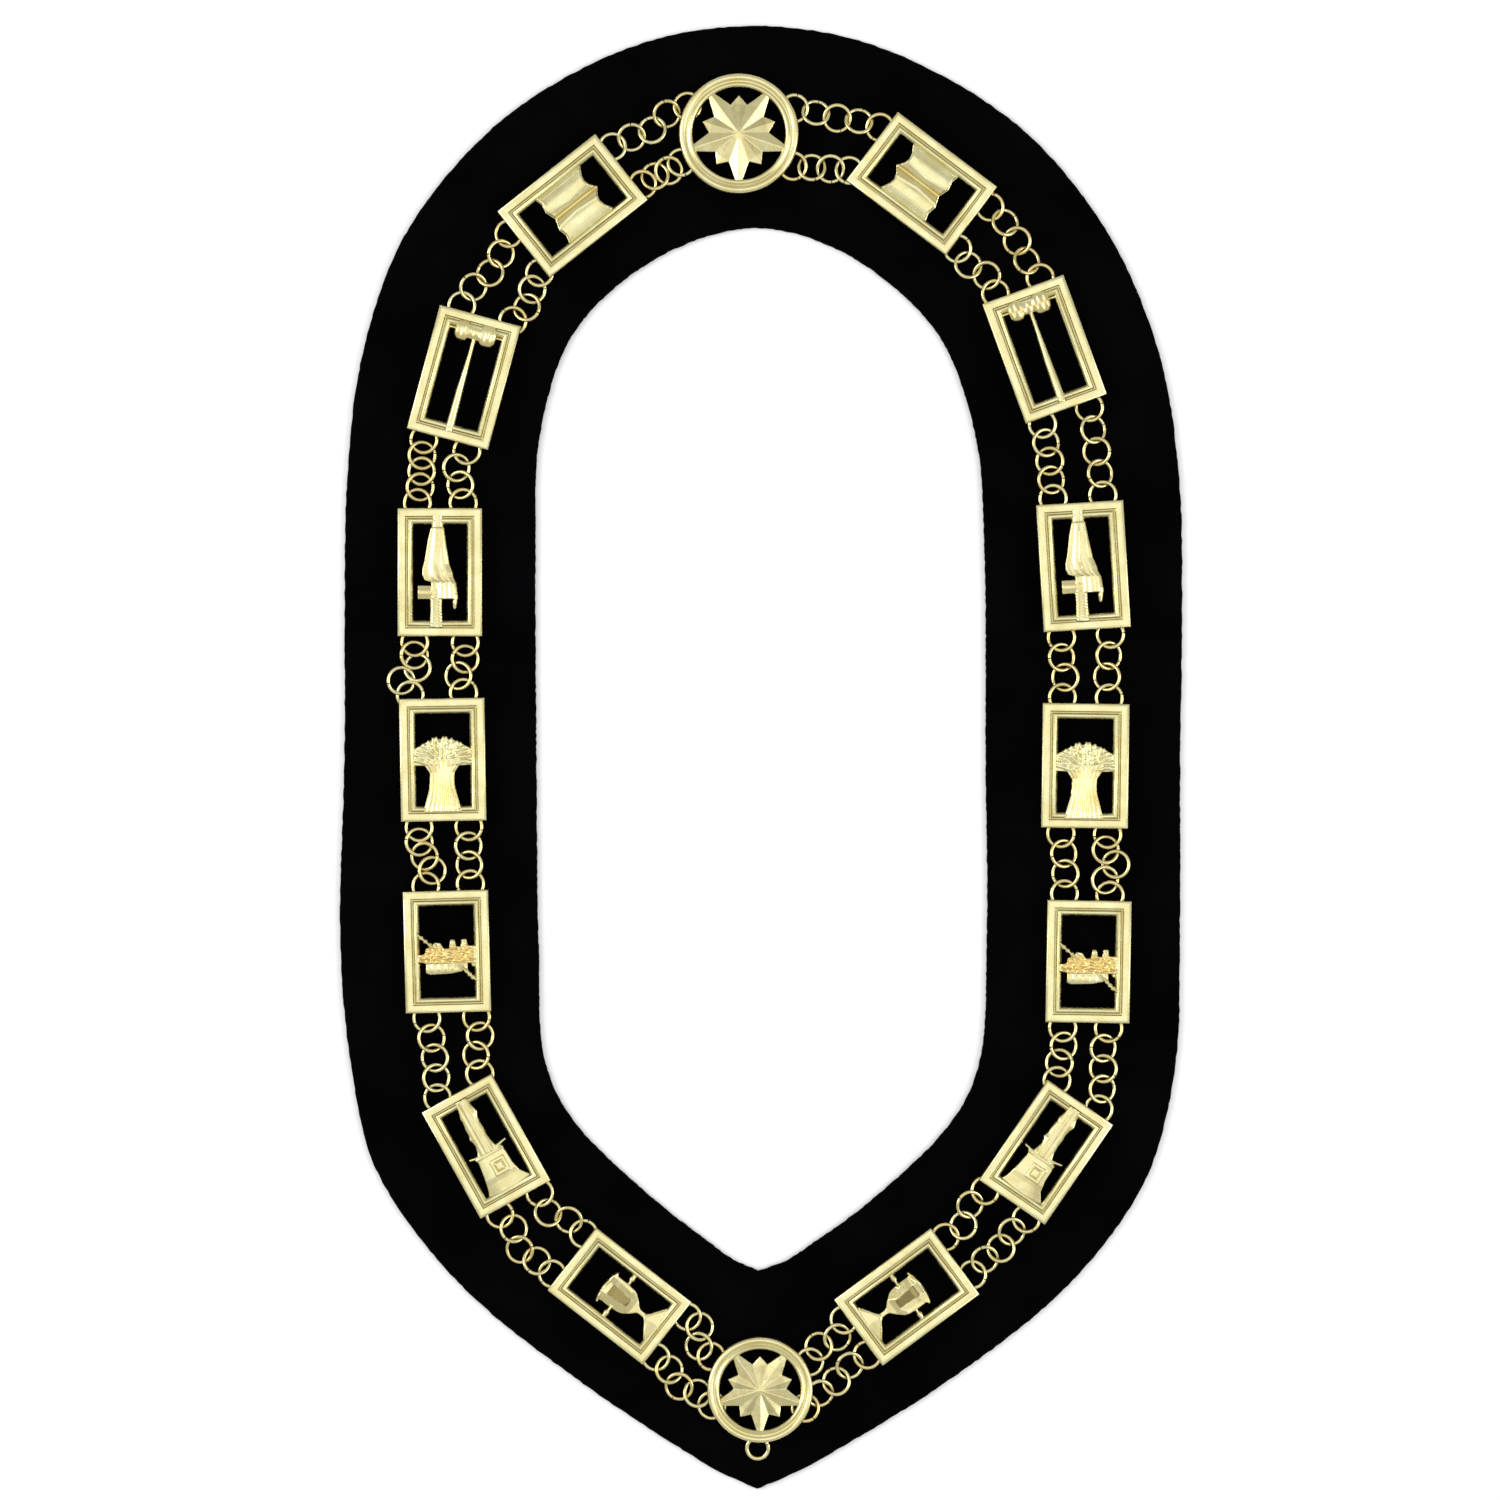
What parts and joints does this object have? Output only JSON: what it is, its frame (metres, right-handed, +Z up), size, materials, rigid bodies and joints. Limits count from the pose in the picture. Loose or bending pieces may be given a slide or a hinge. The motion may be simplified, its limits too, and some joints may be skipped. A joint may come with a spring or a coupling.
{
  "type": "chain of office on a velvet collar",
  "caption": "Ceremonial collar of pierced gold plaques and star medallions joined by doubled ring chains, laid flat on a pointed band of black velvet.",
  "frame": {"origin": "centre of the overall box at the velvet's underside, the surface that it lies on", "axes": "+Y toward the nape medallion, +Z up out of the velvet's face, +X to the right of the face as seen from above"},
  "size_m": [0.3202, 0.556, 0.0094],
  "materials": {
    "gilt_metal": "pale yellow gilt, polished relief with a soft satin ground",
    "velvet": "black velvet, matt with a faint sheen along the edges"
  },
  "bodies": {
    "root": {"velvet_backing": "velvet", "plaque_left_1_book": "gilt_metal", "plaque_left_2_gavel": "gilt_metal", "plaque_left_3_sword": "gilt_metal", "plaque_left_4_sheaf": "gilt_metal", "plaque_left_5_crown": "gilt_metal", "plaque_left_6_column": "gilt_metal", "plaque_left_7_cup": "gilt_metal", "chain_left_1_outer": "gilt_metal", "chain_left_1_inner": "gilt_metal", "chain_left_2_outer": "gilt_metal", "chain_left_2_inner": "gilt_metal", "chain_left_3_outer": "gilt_metal", "chain_left_3_inner": "gilt_metal", "chain_left_4_outer": "gilt_metal", "chain_left_4_inner": "gilt_metal", "chain_left_5_outer": "gilt_metal", "chain_left_5_inner": "gilt_metal", "chain_left_6_outer": "gilt_metal", "chain_left_6_inner": "gilt_metal", "chain_left_7_outer": "gilt_metal", "chain_left_7_inner": "gilt_metal", "chain_left_8_outer": "gilt_metal", "chain_left_8_inner": "gilt_metal", "plaque_right_1_book": "gilt_metal", "plaque_right_2_gavel": "gilt_metal", "plaque_right_3_sword": "gilt_metal", "plaque_right_4_sheaf": "gilt_metal", "plaque_right_5_crown": "gilt_metal", "plaque_right_6_column": "gilt_metal", "plaque_right_7_cup": "gilt_metal", "chain_right_1_outer": "gilt_metal", "chain_right_1_inner": "gilt_metal", "chain_right_2_outer": "gilt_metal", "chain_right_2_inner": "gilt_metal", "chain_right_3_outer": "gilt_metal", "chain_right_3_inner": "gilt_metal", "chain_right_4_outer": "gilt_metal", "chain_right_4_inner": "gilt_metal", "chain_right_5_outer": "gilt_metal", "chain_right_5_inner": "gilt_metal", "chain_right_6_outer": "gilt_metal", "chain_right_6_inner": "gilt_metal", "chain_right_7_outer": "gilt_metal", "chain_right_7_inner": "gilt_metal", "chain_right_8_outer": "gilt_metal", "chain_right_8_inner": "gilt_metal", "medallion_nape": "gilt_metal", "medallion_breast": "gilt_metal", "pendant_ring": "gilt_metal"}
  },
  "joints": []
}
